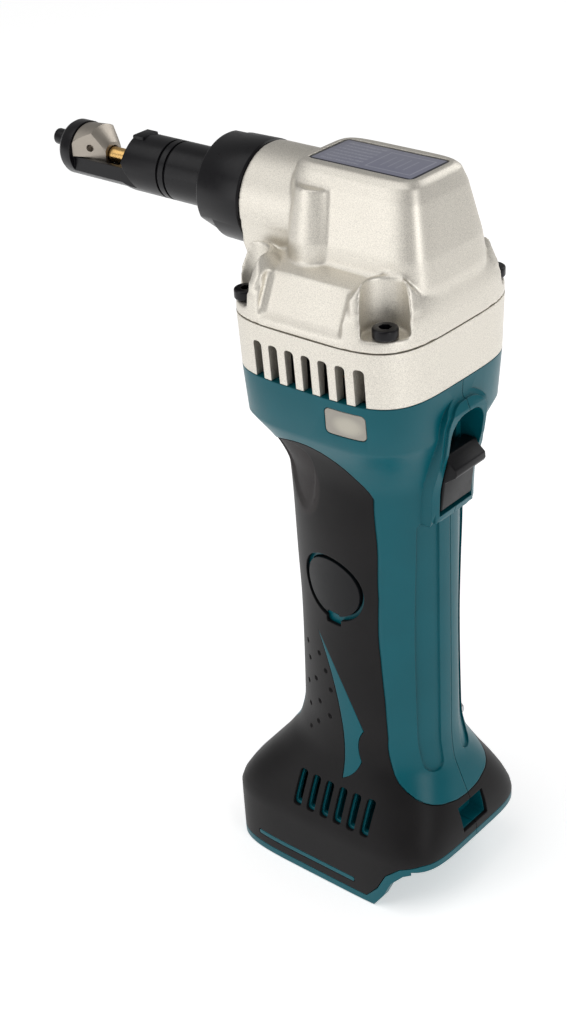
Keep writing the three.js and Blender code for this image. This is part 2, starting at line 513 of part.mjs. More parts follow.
const nutProfile = [[-42.9, 16], [-42.9, 18.6], [-43.6, 19.25], [-62, 18.9], [-63.1, 17.8], [-63.1, 11.5]];
nutProfile.push([-57.9, 11.5], [-57.9, 16], [-42.9, 16]);
const flats = [0, 1].map((i) => {
  const flat = new THREE.BoxGeometry(8, 40, 10).translate(-60.4, 0, -21.6).rotateX(-0.7 + i * Math.PI);
  return solid(flat.translate(0, 0, NOSE_Z));
});
part('lock_nut', turned(nutProfile, 24).subtract(joined(flats)), BLACK_STEEL);

// ---- slide switch ----
const leverSide = outline([[31.6, LEVER_BOTTOM], [36, LEVER_BOTTOM], [37.6, 181], [42.4, 184.6], [42.6, 187],
  [39.4, 190], [38.4, 192], [33.4, 192]]);
part('switch_lever', prismY(leverSide, -9.1, 9.1), BLACK_PLASTIC);
const sliderBlock = box(24.2, 30.8, -6.5, 6.5, 172, 186);
part('switch_slider', sliderBlock.add(box(24.2, 28.4, -4, 4, 118.5, 173)), BLACK_PLASTIC);
part('switch_unit', box(6, 26, -8, 8, 92, 116).add(box(22, 26, -3, 3, 115, 117.8)), BLACK_PLASTIC);

// ---- electronics and battery terminals ----
const board = box(-18, 18, -15, 15, 58, 59.6).add(box(-12, 2, -9, 5, 59, 66)).add(box(6, 14, -8, 8, 59, 63));
part('control_board', board, BOARD);
part('terminal_block', box(-44, -30, -16, 16, 8, BAY_TOP - GAP), BLACK_PLASTIC);
for (const [i, y] of [-9, 9].entries()) {
  part(`terminal_blade_${i + 1}`, box(-30 + GAP, -17, y - 0.5, y + 0.5, 11, 17.5), COPPER);
}

export default tool;
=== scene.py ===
"""The looks of a battery nibbler: housing, grip skins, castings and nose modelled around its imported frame.

Pieces are drawn in millimetres about the motor axis (x = 0, y = 0), with z = 0 at the lower edges of the
battery rails, the nose towards -X and the slide switch on the +X side. placed() then brings each one to
the frame, in metres.
"""

import math

import bpy
from mathutils import Matrix, Vector


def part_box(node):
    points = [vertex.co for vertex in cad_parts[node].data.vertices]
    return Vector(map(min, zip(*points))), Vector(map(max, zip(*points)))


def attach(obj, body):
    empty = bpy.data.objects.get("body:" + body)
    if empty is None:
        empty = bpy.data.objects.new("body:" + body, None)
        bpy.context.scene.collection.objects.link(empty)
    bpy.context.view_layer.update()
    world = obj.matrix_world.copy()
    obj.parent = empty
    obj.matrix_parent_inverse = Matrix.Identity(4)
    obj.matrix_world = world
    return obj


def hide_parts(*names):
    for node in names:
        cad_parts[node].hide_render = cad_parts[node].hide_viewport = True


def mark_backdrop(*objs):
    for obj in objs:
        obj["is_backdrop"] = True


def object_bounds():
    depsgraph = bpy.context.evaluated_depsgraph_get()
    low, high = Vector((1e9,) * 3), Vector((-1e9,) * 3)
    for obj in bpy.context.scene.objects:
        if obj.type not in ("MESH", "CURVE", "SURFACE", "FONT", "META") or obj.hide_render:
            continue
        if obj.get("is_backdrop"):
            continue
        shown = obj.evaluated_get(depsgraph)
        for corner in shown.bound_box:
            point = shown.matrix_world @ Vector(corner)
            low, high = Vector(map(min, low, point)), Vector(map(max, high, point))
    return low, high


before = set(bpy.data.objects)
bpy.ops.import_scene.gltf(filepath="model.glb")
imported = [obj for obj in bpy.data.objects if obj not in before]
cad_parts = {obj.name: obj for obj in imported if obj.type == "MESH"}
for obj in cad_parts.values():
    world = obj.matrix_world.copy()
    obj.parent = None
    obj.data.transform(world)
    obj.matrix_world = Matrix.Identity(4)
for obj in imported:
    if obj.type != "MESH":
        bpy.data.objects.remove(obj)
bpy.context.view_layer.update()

MM = 0.001
can_low, can_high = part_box("motor_can")
MOTOR_X = (can_low.x + can_high.x) / 2
punch_low, punch_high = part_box("punch")
NOSE_Z = (punch_low.z + punch_high.z) / 2 / MM

GAP = 0.3  # clearance between neighbouring pieces
SKIN = 1.5  # thickness of the soft grip skin
WALL = 3.6  # outside of the skin to the inside of the housing
RING_BOTTOM = 218.2  # top of the plastic housing
SEAM = 239  # joint between vent ring and gear case
TOP = 290.7  # flat top of the gear case
BAY_TOP = 21.3  # ceiling of the battery bay
BRUSH_X = -2.6  # centre of the brush covers
BRUSH_Z = 132
LENS_X, LENS_Z = (8.4, 24.6), (205.2, 214.8)
LATCH = (8, 27.6, 38)  # half width, bottom and top of the latch pocket
POCKET_FLOOR = 243.3  # seats of the case screws
CASE_SCREWS = [(-30, -31), (30, -31), (30, 31), (-30, 31)]
HOUSING_SCREWS = [(-25.5, 172, 13), (-25.5, 100, 11), (24, 64, 15)]  # x, z and seat of the head
COUNTER = (-9.276, -14.007)  # countershaft axis
CRANK_X = 5
RING_PLAN = (-39.1, 39.1, 38.2, 4.13)  # front, back, half width and squareness where the vent ring starts
SEAM_PLAN = (-39.3, 39.3, 39.5, 4.13)
SCOOP_X, SCOOP_Z = -14, 177  # middle of the thumb scoops
ACROSS = (-60, 60)  # a span across the whole tool
SLEEVE = (15.7, (-54.1, -40))  # radius and ends of the nose sleeve
SLEEVE_BORE = 14
BOLT_R, BOLT_BORE = 1.9, 2.3
SHANK_BORE, HEAD_BORE = 1.9, 3.4  # holes for the housing screws


# ---- shaping tools ----
def deselect():
    for item in bpy.context.selected_objects:
        item.select_set(False)


def only(piece):
    deselect()
    piece.select_set(True)
    bpy.context.view_layer.objects.active = piece


def settled():
    """The newest piece, with its place and size put into its mesh."""
    bpy.ops.object.transform_apply(location=True, rotation=True, scale=True)
    return bpy.context.active_object


def drawn(points, edges, faces):
    """A wire or flat face from its corners."""
    mesh = bpy.data.meshes.new("drawn")
    mesh.from_pydata(points, edges, faces)
    mesh.update()
    piece = bpy.data.objects.new("drawn", mesh)
    bpy.context.collection.objects.link(piece)
    only(piece)
    return piece


def block(x, y, z):
    deselect()
    spans = (x, y, z)
    bpy.ops.mesh.primitive_cube_add(
        size=1, location=[(a + b) / 2 for a, b in spans], scale=[b - a for a, b in spans]
    )
    return settled()


def bar(axis, u, v, w, r, steps=6):
    """A block whose four edges along the axis are rounded; u and v span its cross-section, w its length."""
    piece = block(*{"X": (w, u, v), "Y": (u, w, v), "Z": (u, v, w)}[axis])
    along = "XYZ".index(axis)
    bpy.ops.object.mode_set(mode="EDIT")
    bpy.ops.mesh.select_mode(type="EDGE")
    bpy.ops.mesh.select_all(action="DESELECT")
    bpy.ops.object.mode_set(mode="OBJECT")
    for edge in piece.data.edges:
        a, b = (piece.data.vertices[i].co for i in edge.vertices)
        edge.select = abs(a[along] - b[along]) > (w[1] - w[0]) / 2
    bpy.ops.object.mode_set(mode="EDIT")
    bpy.ops.mesh.bevel(offset=r, segments=steps, affect="EDGES")
    bpy.ops.object.mode_set(mode="OBJECT")
    return piece


TURNS = {"X": (0, math.pi / 2, 0), "Y": (-math.pi / 2, 0, 0), "Z": (0, 0, 0)}


def rod(axis, r, w, centre=(0, 0), top=None, around=64):
    """A round bar along an axis, from w[0] to w[1], tapering to radius top."""
    deselect()
    middle = (w[0] + w[1]) / 2
    place = {"X": (middle, *centre), "Y": (centre[0], middle, centre[1]), "Z": (*centre, middle)}[axis]
    bpy.ops.mesh.primitive_cone_add(
        vertices=around, radius1=r, radius2=r if top is None else top, depth=w[1] - w[0],
        location=place, rotation=TURNS[axis],
    )
    return settled()


def prism(axis, points, w):
    """A flat outline in the other two axes, extruded along one."""
    lay = {
        "X": lambda u, v: (w[0], u, v), "Y": lambda u, v: (u, w[0], v), "Z": lambda u, v: (u, v, w[0]),
    }[axis]
    piece = drawn([lay(*p) for p in points], [], [range(len(points))])
    way = [0, 0, 0]
    way["XYZ".index(axis)] = w[1] - w[0]
    bpy.ops.object.mode_set(mode="EDIT")
    bpy.ops.mesh.select_all(action="SELECT")
    bpy.ops.mesh.extrude_region_move(TRANSFORM_OT_translate={"value": way})
    bpy.ops.mesh.select_all(action="SELECT")
    bpy.ops.mesh.normals_make_consistent(inside=False)
    bpy.ops.object.mode_set(mode="OBJECT")
    return piece


def turned(profile, around=96):
    """A solid spun about the punch axis from (x, radius) points that start and end on it."""
    points = [(x, 0, NOSE_Z + r) for x, r in profile]
    piece = drawn(points, [(i, i + 1) for i in range(len(points) - 1)], [])
    bpy.ops.object.mode_set(mode="EDIT")
    bpy.ops.mesh.select_all(action="SELECT")
    bpy.ops.mesh.spin(steps=around, angle=2 * math.pi, center=(0, 0, NOSE_Z), axis=(1, 0, 0))
    bpy.ops.mesh.select_all(action="SELECT")
    bpy.ops.mesh.remove_doubles(threshold=0.002)
    bpy.ops.mesh.normals_make_consistent(inside=False)
    bpy.ops.object.mode_set(mode="OBJECT")
    return piece


def smooth(levels, step=2.5):
    """Levels with more between them, on curves that never overshoot."""
    rows = [levels[0]]
    slopes = []
    for a, b in zip(levels, levels[1:]):
        slopes.append([(q - p) / (b[0] - a[0]) for p, q in zip(a, b)])

    def tangent(i, k):
        if i in (0, len(levels) - 1):
            return slopes[min(i, len(slopes) - 1)][k]
        before, after = slopes[i - 1][k], slopes[i][k]
        return 0 if before * after <= 0 else 2 * before * after / (before + after)

    for i, (a, b) in enumerate(zip(levels, levels[1:])):
        rise = b[0] - a[0]
        count = max(1, round(rise / step))
        for j in range(1, count + 1):
            t = j / count
            row = [a[0] + rise * t]
            for k in range(1, len(a)):
                h = (1 + 2 * t) * (1 - t) ** 2, t * (1 - t) ** 2, t * t * (3 - 2 * t), t * t * (t - 1)
                leaving, arriving = tangent(i, k), tangent(i + 1, k)
                row.append(h[0] * a[k] + h[1] * rise * leaving + h[2] * b[k] + h[3] * rise * arriving)
            rows.append(tuple(row))
    return rows


def rounded_section(level, angle, inset):
    """A point on a level's superellipse: a level is (z, front x, back x, half width, squareness)."""
    z, front, back, side, squareness = level
    c, s = math.cos(angle), math.sin(angle)
    x = (front + back) / 2 + math.copysign(abs(c) ** (2 / squareness), c) * ((back - front) / 2 - inset)
    return x, math.copysign(abs(s) ** (2 / squareness), s) * (side - inset), z


def tower(levels, inset=0, around=112):
    """A closed solid through its levels."""
    angles = [2 * math.pi * i / around for i in range(around)]
    points = [rounded_section(level, angle, inset) for level in levels for angle in angles]
    faces = [range(around - 1, -1, -1), range(len(points) - around, len(points))]
    for j in range(len(levels) - 1):
        low = j * around
        for i in range(around):
            n = (i + 1) % around
            faces.append((low + i, low + n, low + around + n, low + around + i))
    return drawn(points, [], faces)


def combined(piece, other, operation):
    modifier = piece.modifiers.new(operation.lower(), "BOOLEAN")
    modifier.operation, modifier.solver, modifier.object = operation, "MANIFOLD", other
    only(piece)
    bpy.ops.object.modifier_apply(modifier=modifier.name)
    bpy.data.objects.remove(other)
    return piece


def cut(piece, *others):
    for other in others:
        combined(piece, other, "DIFFERENCE")
    return piece


def add(piece, *others):
    for other in others:
        combined(piece, other, "UNION")
    return piece


def keep(piece, *others):
    for other in others:
        combined(piece, other, "INTERSECT")
    return piece


def copied(piece):
    twin = piece.copy()
    twin.data = piece.data.copy()
    bpy.context.collection.objects.link(twin)
    return twin


def shaped(piece, kind, **settings):
    """The piece with one modifier of that kind applied."""
    modifier = piece.modifiers.new(kind.lower(), kind)
    for key, value in settings.items():
        setattr(modifier, key, value)
    only(piece)
    bpy.ops.object.modifier_apply(modifier=modifier.name)
    return piece


def eased(piece, width, segments=2, angle=35):
    """The piece with its sharp edges rounded."""
    return shaped(
        piece, "BEVEL", width=width, segments=segments, limit_method="ANGLE", angle_limit=math.radians(angle)
    )


def placed(piece, node, body, finish, smooth_angle=32):
    """The piece in the frame, in metres, standing for its CAD node."""
    piece.scale = (MM, MM, MM)
    piece.location = (MOTOR_X, 0, 0)
    only(piece)
    settled()
    bpy.ops.object.shade_smooth_by_angle(angle=math.radians(smooth_angle))
    piece.name = piece.data.name = node + "_shell"
    piece.data.materials.clear()
    piece.data.materials.append(finish.material)
    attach(piece, body)
    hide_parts(node)
    return piece


def quadratic(start, bend, end, steps=10):
    """Points after the start of a curve that leaves for the bend and arrives at the end."""
    points = []
    for i in range(1, steps + 1):
        t = i / steps
        points.append([
            (1 - t) ** 2 * a + 2 * t * (1 - t) * b + t * t * c for a, b, c in zip(start, bend, end)
        ])
    return points


# ---- finishes ----
class Socket:
    """A node socket that takes part in sums: each operator adds its Math node."""

    def __init__(self, finish, link):
        self.finish, self.link = finish, link

    def maths(self, operation, *values):
        return self.finish.node("ShaderNodeMath", {"operation": operation}, dict(enumerate(values)))

    def __add__(self, other):
        return self.maths("ADD", self, other)

    def __sub__(self, other):
        return self.maths("SUBTRACT", self, other)

    def __rsub__(self, other):
        return self.maths("SUBTRACT", other, self)

    def __mul__(self, other):
        return self.maths("MULTIPLY", self, other)

    def __truediv__(self, other):
        return self.maths("DIVIDE", self, other)

    def __mod__(self, other):
        return self.maths("FLOORED_MODULO", self, other)

    def __abs__(self):
        return self.maths("ABSOLUTE", self)

    def __gt__(self, other):
        return self.maths("GREATER_THAN", self, other)

    def __lt__(self, other):
        return self.maths("LESS_THAN", self, other)

    __radd__, __rmul__ = __add__, __mul__


class Finish:
    """A material named for what it is, with a Principled surface, and the record's slot it stands for."""

    def __init__(self, name, slot, edge=0.35, **constants):
        self.slot = slot
        self.material = bpy.data.materials.new(name)
        self.material.use_nodes = True
        self.tree = self.material.node_tree
        self.tree.nodes.clear()
        self.output = self.tree.nodes.new("ShaderNodeOutputMaterial")
        self.surface = self.tree.nodes.new("ShaderNodeBsdfPrincipled")
        self.tree.links.new(self.surface.outputs["BSDF"], self.output.inputs["Surface"])
        for key, value in constants.items():
            self.surface.inputs[key.replace("_", " ")].default_value = value
        place = self.tree.nodes.new("ShaderNodeTexCoord")
        self.place = Socket(self, place.outputs["Object"])
        split = self.tree.nodes.new("ShaderNodeSeparateXYZ")
        self.tree.links.new(self.place.link, split.inputs[0])
        self.x, self.y, self.z = (Socket(self, split.outputs[i]) for i in range(3))
        self.x, self.y, self.z = (self.x - MOTOR_X) / MM, self.y / MM, self.z / MM
        self.rounding = self.node("ShaderNodeBevel", {"samples": 4}, {"Radius": edge * MM})

    def node(self, kind, settings=None, inputs=None, output=0):
        made = self.tree.nodes.new(kind)
        for key, value in (settings or {}).items():
            if key == "stops":
                ramp = made.color_ramp.elements
                while len(ramp) < len(value):
                    ramp.new(0.5)
                for element, (position, colour) in zip(ramp, value):
                    element.position, element.color = position, (*colour, 1)
            else:
                setattr(made, key, value)
        for key, value in (inputs or {}).items():
            if isinstance(value, Socket):
                self.tree.links.new(value.link, made.inputs[key])
            else:
                made.inputs[key].default_value = value
        return Socket(self, made.outputs[output])

    def noise(self, per_mm, detail=2, roughness=0.5):
        inputs = {"Vector": self.place, "Scale": per_mm / MM, "Detail": detail, "Roughness": roughness}
        return self.node("ShaderNodeTexNoise", {"noise_dimensions": "3D"}, inputs)

    def blend(self, amount, first, second):
        """A colour between two colours."""
        made = self.node("ShaderNodeMix", {"data_type": "RGBA"}, {"Factor": amount}, output=2)
        sockets = made.link.node.inputs
        for slot, value in ((sockets[6], first), (sockets[7], second)):
            if isinstance(value, Socket):
                self.tree.links.new(value.link, slot)
            else:
                slot.default_value = (*value, 1)
        return made

    def drive(self, **sockets):
        for key, value in sockets.items():
            self.tree.links.new(value.link, self.surface.inputs[key.replace("_", " ")])
        return self

    def bumped(self, height, depth_mm, strength=1.0):
        """Surface relief of that depth, over edges that the rounding softens."""
        inputs = {"Height": height, "Distance": depth_mm * MM, "Strength": strength, "Normal": self.rounding}
        return self.drive(Normal=self.node("ShaderNodeBump", {}, inputs))


def moulded(name, slot, colour, roughness, grain=2.2, depth=0.012, spread=0.1, **constants):
    """Moulded plastic: fine spark texture and faint cloudiness in its gloss and colour."""
    made = Finish(name, slot, **constants)
    cloud = made.noise(0.05, 3)
    darker = [v * 0.86 for v in colour]
    made.drive(
        Base_Color=made.blend(cloud, darker, [min(1, v * 1.1) for v in colour]),
        Roughness=made.noise(0.4, 4) * spread + (roughness - spread / 2),
    )
    return made.bumped(made.noise(grain, 3, 0.6), depth)


def metal(name, slot, colour, roughness, grain=1.4, depth=0.01, spread=0.14, **constants):
    """Machined or coated metal: tool grain, uneven gloss and slightly worn colour."""
    made = Finish(name, slot, **constants)
    patch = made.noise(0.09, 4)
    made.drive(
        Base_Color=made.blend(patch, [v * 0.82 for v in colour], [min(1, v * 1.08) for v in colour]),
        Roughness=made.noise(0.5, 5) * spread + (roughness - spread / 2),
    )
    return made.bumped(made.noise(grain, 4, 0.65), depth)


teal = moulded("teal_plastic", "teal_plastic", (0.0, 0.092, 0.118), 0.34, edge=0.5, Specular_IOR_Level=0.22)
black_plastic = moulded(
    "black_plastic", "black_plastic", (0.005, 0.005, 0.006), 0.4, edge=0.4, Specular_IOR_Level=0.18
)
board_lacquer = moulded("board_lacquer", "circuit_board", (0.01, 0.12, 0.045), 0.3)
carbon = moulded("brush_carbon", "carbon", (0.02, 0.02, 0.021), 0.75, grain=1.2, depth=0.03)
black_steel = metal(
    "black_oxide", "black_steel", (0.004, 0.0036, 0.005), 0.3, Specular_IOR_Level=0.24, edge=0.3
)
steel = metal("ground_steel", "steel", (0.52, 0.52, 0.53), 0.3, Metallic=1.0)
die_steel = metal("ground_die_steel", "die_steel", (0.4, 0.36, 0.31), 0.36, Metallic=0.85, edge=0.2)
gold = metal("gold_coating", "gold_steel", (0.8, 0.5, 0.18), 0.25, Metallic=1.0, edge=0.15)
copper = metal("bare_copper", "copper", (0.78, 0.36, 0.2), 0.34, Metallic=1.0)
bronze = metal("oiled_bronze", "bronze", (0.55, 0.38, 0.18), 0.4, Metallic=1.0)


def cast_finish():
    """Satin lacquered casting: metallic flake, sand-cast grain and soft tone changes."""
    made = Finish("cast_aluminium", "cast_aluminium", edge=0.5, Metallic=0.85)
    flake = made.noise(3.2, 2, 0.7)
    cloud = made.noise(0.06, 3)
    stops = [(0.36, (0.56, 0.53, 0.47)), (0.62, (0.84, 0.8, 0.72))]
    fleck = made.node("ShaderNodeValToRGB", {"stops": stops}, {0: flake})
    made.drive(
        Base_Color=made.blend(cloud * 0.35, fleck, (0.74, 0.7, 0.63)),
        Roughness=flake * 0.2 + cloud * 0.08 + 0.32,
    )
    return made.bumped(flake * 0.5 + made.noise(1.4, 3) * 0.6, 0.016)


def rubber_finish():
    """Soft elastomer: fine matte grain, greyer and rougher in the thumb scoops."""
    made = Finish("grip_elastomer", "black_rubber", edge=0.6, Specular_IOR_Level=0.14)
    across = (made.x - SCOOP_X) / 11.5
    along = (made.z - SCOOP_Z) / 18.5
    inside = made.node(
        "ShaderNodeMapRange", {"interpolation_type": "SMOOTHSTEP"},
        {0: across * across + along * along, 1: 1.0, 2: 0.72, 3: 0.0, 4: 1.0},
    )
    grain = made.noise(2.4, 3, 0.7)
    worn = inside * 0.7 + made.noise(0.05, 3) * 0.3
    made.drive(
        Base_Color=made.blend(worn, (0.0045, 0.0043, 0.0048), (0.034, 0.03, 0.03)),
        Roughness=inside * 0.12 + grain * 0.12 + 0.4,
    )
    return made.bumped(grain * (inside * 2.5 + 0.8), 0.02)


def lens_finish():
    """Frosted lens: milky, with a painted glow that makes its middle lighter."""
    made = Finish("frosted_lens", "lens_plastic", edge=0.4, IOR=1.45)
    across, up = (made.x - 17.5) / 6.5, (made.z - 209.6) / 4
    # painted glow: the middle of the lens is painted lighter, standing in for light from the lamp behind it
    painted_glow = made.node(
        "ShaderNodeMapRange", {"interpolation_type": "SMOOTHSTEP"},
        {0: across * across + up * up, 1: 1.2, 2: 0.0, 3: 0.0, 4: 1.0},
    )
    ribs = made.noise(0.5, 2)
    made.drive(
        Base_Color=made.blend(painted_glow, (0.33, 0.305, 0.265), (0.47, 0.44, 0.37)),
        Roughness=ribs * 0.12 + 0.24,
    )
    return made.bumped(ribs, 0.05)


def label_finish():
    """Name plate foil: dark field with rows of fine pale marks, a plain figure frame and a darker rim."""
    made = Finish("label_foil", "label_foil", edge=0.2, Metallic=0.25)
    rows = ((made.y + 50) % 2.6) < 1.1
    stretched = made.node("ShaderNodeMapping", {}, {"Vector": made.place, "Scale": (2200, 380, 0)})
    words = made.node(
        "ShaderNodeTexNoise", {"noise_dimensions": "3D"}, {"Vector": stretched, "Scale": 1.0, "Detail": 2}
    )
    written = rows * (words > 0.47) * (made.x < 2.5) * (made.x > -13.5) * (abs(made.y) < 8.6)
    away_x, away_y = abs(made.x - 14.2), abs(made.y)
    frame_line = (away_x < 9.4) * (away_y < 7.6) * (1 - (away_x < 8.9) * (away_y < 7.1))
    bars = (((made.x + 50) % 3.1) < 0.5) * (away_x < 6.6) * (away_y < 4.6)
    rim = 1 - (abs(made.x - 5) < 20.7) * (abs(made.y) < 10.1)
    marks = rows.maths("MAXIMUM", rows.maths("MAXIMUM", written, frame_line), bars * 0.7)
    field = made.blend(marks * 0.55, (0.24, 0.245, 0.32), (0.46, 0.47, 0.54))
    made.drive(
        Base_Color=made.blend(rim, field, (0.02, 0.022, 0.035)),
        Roughness=made.noise(0.3, 3) * 0.14 + 0.24,
    )
    return made.bumped(marks, 0.02)


casting, rubber, lens_plastic, label = cast_finish(), rubber_finish(), lens_finish(), label_finish()

# ---- finishes of the working parts inside ----
INSIDE = {
    steel: ["housing_screw_1", "housing_screw_2", "housing_screw_3", "brush_spring_left",
            "brush_spring_right", "motor_can", "motor_bearing_low", "motor_bearing_high", "armature_shaft",
            "armature_core", "countershaft", "countershaft_gear", "crank_shaft", "crank_gear",
            "crank_roller", "crank_bearing_low", "crank_bearing_high", "ram"],
    bronze: ["brush_holder_left", "brush_holder_right", "countershaft_bearing_low",
             "countershaft_bearing_high", "ram_guide", "holder_bush"],
    carbon: ["carbon_brush_left", "carbon_brush_right"],
    copper: ["armature_winding", "commutator", "terminal_blade_1", "terminal_blade_2"],
    black_plastic: ["fan_baffle", "cooling_fan", "switch_slider", "switch_unit", "terminal_block"],
    casting: ["bearing_plate", "gear_plate"],
    rubber: ["seal_ring"],
    board_lacquer: ["control_board"],
}
for finish, names in INSIDE.items():
    for name in names:
        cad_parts[name].data.materials.clear()
        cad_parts[name].data.materials.append(finish.material)

# ---- outer form of foot, grip and collar ----
BODY = smooth([
    (0, -53.8, 45, 37.5, 5.2), (25, -54.2, 45, 37.4, 5.2), (31, -51.8, 44.2, 36.2, 4.6),
    (39, -45.8, 41.6, 33, 3.8), (47, -39.6, 38.2, 29.4, 3), (57, -34.4, 34.4, 26.6, 2.3),
    (69, -32.8, 33.4, 25.4, 2.05), (110, -32.6, 33.4, 24.7, 2), (136, -32.8, 33.4, 26, 2),
    (156, -32.4, 33.4, 27.8, 2), (176, -32.4, 33.6, 28.6, 2.1), (188, -34.2, 35, 31.4, 2.7),
    (200.5, -38.4, 38.2, 37.3, 3.9),
]) + [(RING_BOTTOM, *RING_PLAN)]


def body_side(x, z):
    """Half width of the body at a place on its flank."""
    low = max((level for level in BODY if level[0] <= z), key=lambda level: level[0])
    middle, half = (low[1] + low[2]) / 2, (low[2] - low[1]) / 2
    return low[3] * (1 - abs((x - middle) / half) ** low[4]) ** (1 / low[4])


def above_ramp(lift):
    """All that lies above the rails' lower edges and the ramp behind them."""
    points = [(-70, lift), (22.3 - 3.6 * (lift > 0), lift), (26.5 - lift * 0.9, 6 + lift)]
    points += [(30 - lift * 0.8, 13.6 + lift), (35 - lift * 0.5, 18.8 + lift), (41, BAY_TOP + lift)]
    points += [(70, BAY_TOP + lift), (70, 230), (-70, 230)]
    return prism("Y", points, ACROSS)


# Half outline of the housing's bare tongue down the back of the grip: height and half width.
TONGUE = [(z, half) for z, half in (
    (40.4, 0), (40.6, 4), (41, 7.4), (41.8, 10.7), (42.6, 14.6), (43.8, 18.2), (45, 20.3), (46.7, 21.9),
    (49, 22.8), (51.6, 23), (57, 22.2), (69, 21.2), (87, 21.2), (105, 21.5), (132, 22.2), (158, 23.6),
    (177, 24.8), (200, 26), (260, 26),
)]


def skin_region(grow):
    """The soft skin covers both flanks of the grip and the foot; grow widens the pocket it lies in."""
    top = [(-70, 0), (-70, 191.5 + grow), (-20, 191.5 + grow)]
    top += quadratic(top[-1], (-2, 200 + grow), (10.8, 188 + grow))
    top += quadratic((10.8, 188 + grow), (15.6, 183 + grow), (18.5, 174.5 + grow), 5)
    top += [(70, 150 + grow), (70, 0)]
    swoosh = [(-12 + grow, 109 - 2 * grow)]
    for bend, end in (((-1, 95), (9.8 - grow, 70.6)), ((5.6 - grow, 64.5), (9.6 - grow, 57.1)),
                      ((8, 51), (1.9 + grow, 47.8 + grow)), ((1 + grow, 84), (-12 + grow, 109 - 2 * grow))):
        swoosh += quadratic(swoosh[-1], bend, end)
    half_tongue = [(half - grow * (half > 0), z + grow) for z, half in TONGUE]
    region = keep(prism("Y", top, ACROSS), above_ramp(3.1 - grow))
    cut(region, prism("X", half_tongue + [(-half, z) for half, z in reversed(half_tongue[1:])], (0, 70)))
    cut(region, bar("X", (-14.5 + grow, 14.5 - grow), (48 + grow, 260), (-70, 0), 11, 12))
    cut(region, prism("Y", swoosh[:-1], ACROSS))
    return cut(region, bar("Y", (-37 + grow, 13 - grow), (6.6 + grow, 9 - grow), ACROSS, 0.6, 3))


def arch(half, bottom, top, steps=24):
    r = half * 0.8
    points = [(-half, bottom), (half, bottom)]
    for i in range(steps + 1):
        angle = math.pi * i / steps
        side = (half - r) * (1 if 2 * i < steps else -1 if 2 * i > steps else 0)
        points.append((side + r * math.cos(angle), top - r + r * math.sin(angle)))
    return points


def rows_of(count, first, pitch):
    return [first + pitch * i for i in range(count)]


def intake_slots(half):
    """Six slots in a row low on both flanks, all at the same height."""
    slots = [
        bar("Y", (x - half, x + half), (32.6 - half, 42.6 + half), ACROSS, half * 0.7, 4)
        for x in rows_of(6, -16, 6.6)
    ]
    return add(slots[0], *slots[1:])


def screw_holes():
    holes = []
    for x, z, seat in HOUSING_SCREWS:
        holes.append(rod("Y", SHANK_BORE, (-7, 40), (x, z), around=24))
        holes.append(rod("Y", HEAD_BORE, (seat, 60), (x, z), around=40))
    return holes


def guard():
    """Arched frame round the switch lever: a raised inner rim on a lower, softer step."""
    side = [(28, 160), (33.8, 160), (36.4, 169), (41, 200), (42, 208), (39, 215), (28, 215)]
    frame_form = keep(prism("X", arch(13, 163, 213.2), (20, 50)), prism("Y", side, (-20, 20)))
    inner = keep(prism("X", arch(11.4, 164.5, 211.3), (20, 50)), prism("Y", side, (-20, 20)))
    step = prism("Y", [(x - 1.1, z) for x, z in side], (-20, 20))
    return keep(add(keep(frame_form, step), inner), tower(BODY, -4))


def housing():
    shell = cut(tower(BODY), skin_region(GAP))
    shell = add(shell, tower(BODY, SKIN + GAP), guard())
    channels = add(
        bar("X", (5.8, 14.2), (54, 165), (20, 60), 3.8, 8),
        bar("X", (-14.2, -5.8), (54, 165), (20, 60), 3.8, 8),
    )
    cut(channels, tower(BODY, 0.9))
    cut(shell, channels)
    hollow = keep(tower(BODY, WALL), block(ACROSS, (-50, 50), (24, 230)))
    inner = cut(block((-12, 12), (-30, 30), (117, 123)), rod("Z", 8.3, (110, 130)))
    shelf = cut(block((-40, 40), (-40, 40), (143.6, 146.7)), rod("Z", 17, (140, 150)))
    add(inner, cut(shelf, block((21, 40), (-6, 6), (140, 150))), block((33.5, 50), (-10, 10), (24, 40.2)))
    add(inner, prism("X", arch(12.2, 165, 210), (28.5, 50)))
    add(inner, *[rod("Y", 4.4, (-40, 40), (x, z), around=32) for x, z, seat in HOUSING_SCREWS])
    keep(inner, add(tower(BODY, 2.4), guard()))
    add(cut(shell, hollow), inner)
    cut(shell, block((-46, 60), (-33.4, 33.4), (-1, BAY_TOP)))
    for inner_y, outer_y in ((30.6, 33.6), (-33.6, -30.6)):
        add(shell, block((-40, 19), (inner_y, outer_y), (3.4, 7.4)))
    keep(shell, above_ramp(0))
    cut(shell, prism("X", arch(9.8, 167.4, 207), (31, 60)), block((20, 40), (-7.3, 7.3), (171, 196)))
    for z in rows_of(4, 197.4, 2.2):
        add(shell, rod("Y", 0.55, (-5.6, 5.6), (31.1, z), around=16))
    lens_x, lens_z = ((low - GAP, high + GAP) for low, high in (LENS_X, LENS_Z))
    cut(shell, bar("Y", lens_x, lens_z, ACROSS, 2.1, 8))
    cut(shell, intake_slots(1.2), bar("X", (-LATCH[0], LATCH[0]), LATCH[1:], (36, 60), 1, 4))
    for reach in ((-60, -10), (10, 60)):
        cut(shell, rod("Y", 12.9, reach, (BRUSH_X, BRUSH_Z), around=96))
    return cut(shell, *screw_holes())


def halves(whole):
    """The two halves either side of the parting line."""
    other = copied(whole)
    keep(whole, block((-90, 90), (-60, -GAP / 2), (-5, 260)))
    keep(other, block((-90, 90), (GAP / 2, 60), (-5, 260)))
    return ("left", whole), ("right", other)


for side, half in halves(housing()):
    placed(half, f"housing_{side}", "body", teal)


